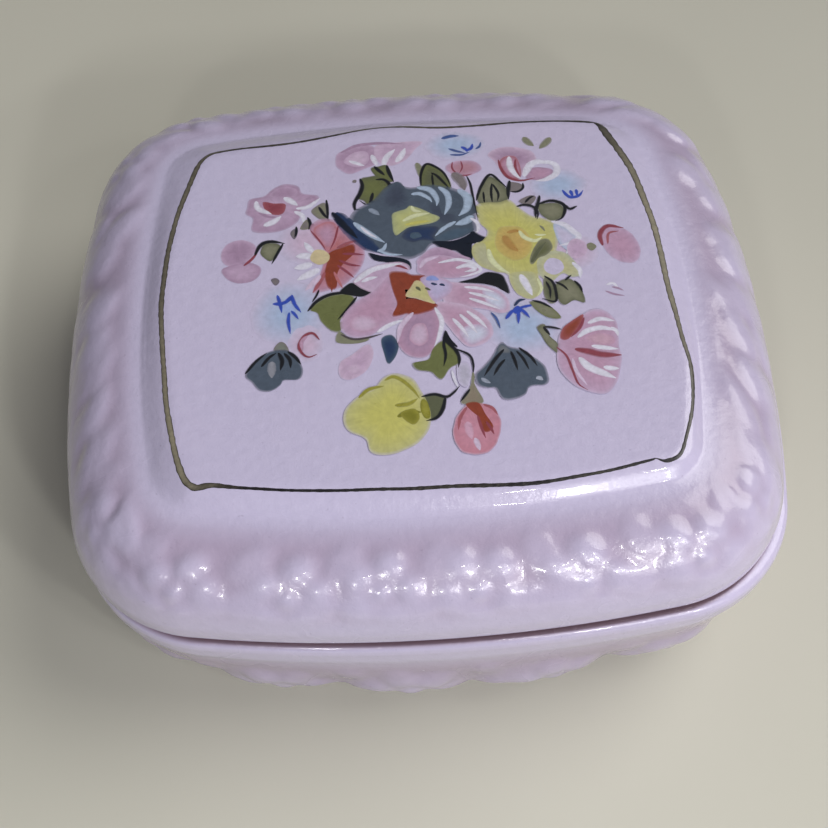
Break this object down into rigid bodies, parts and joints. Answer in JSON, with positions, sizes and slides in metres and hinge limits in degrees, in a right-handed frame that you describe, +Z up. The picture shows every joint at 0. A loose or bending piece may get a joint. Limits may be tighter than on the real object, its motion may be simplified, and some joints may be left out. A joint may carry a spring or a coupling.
{
  "type": "porcelain trinket box",
  "caption": "Porcelain trinket box: rounded bowed rectangle with a footed base and a lift-off lid with a raised flat panel and an embossed shoulder.",
  "frame": {"origin": "under the middle of the foot, on the resting plane", "axes": "+X to the box's right along its width, +Y to its back, +Z up out of the panel"},
  "size_m": [0.0802, 0.0738, 0.0292],
  "materials": {
    "glaze": "glossy pink-lilac glaze",
    "bisque": "unglazed foot and seating lip, fine matt",
    "painted_line": "fired-on dark gilt-brown painted line",
    "enamel": "fired-on printed and hand-touched floral enamels"
  },
  "bodies": {
    "base_body": {"base": "glaze"},
    "lid_body": {"lid": "glaze"}
  },
  "joints": [
    {"name": "lid_lift", "type": "slide", "parent": "base_body", "child": "lid_body", "axis": [0, 0, 1], "range_m": [0, 0.05]}
  ]
}
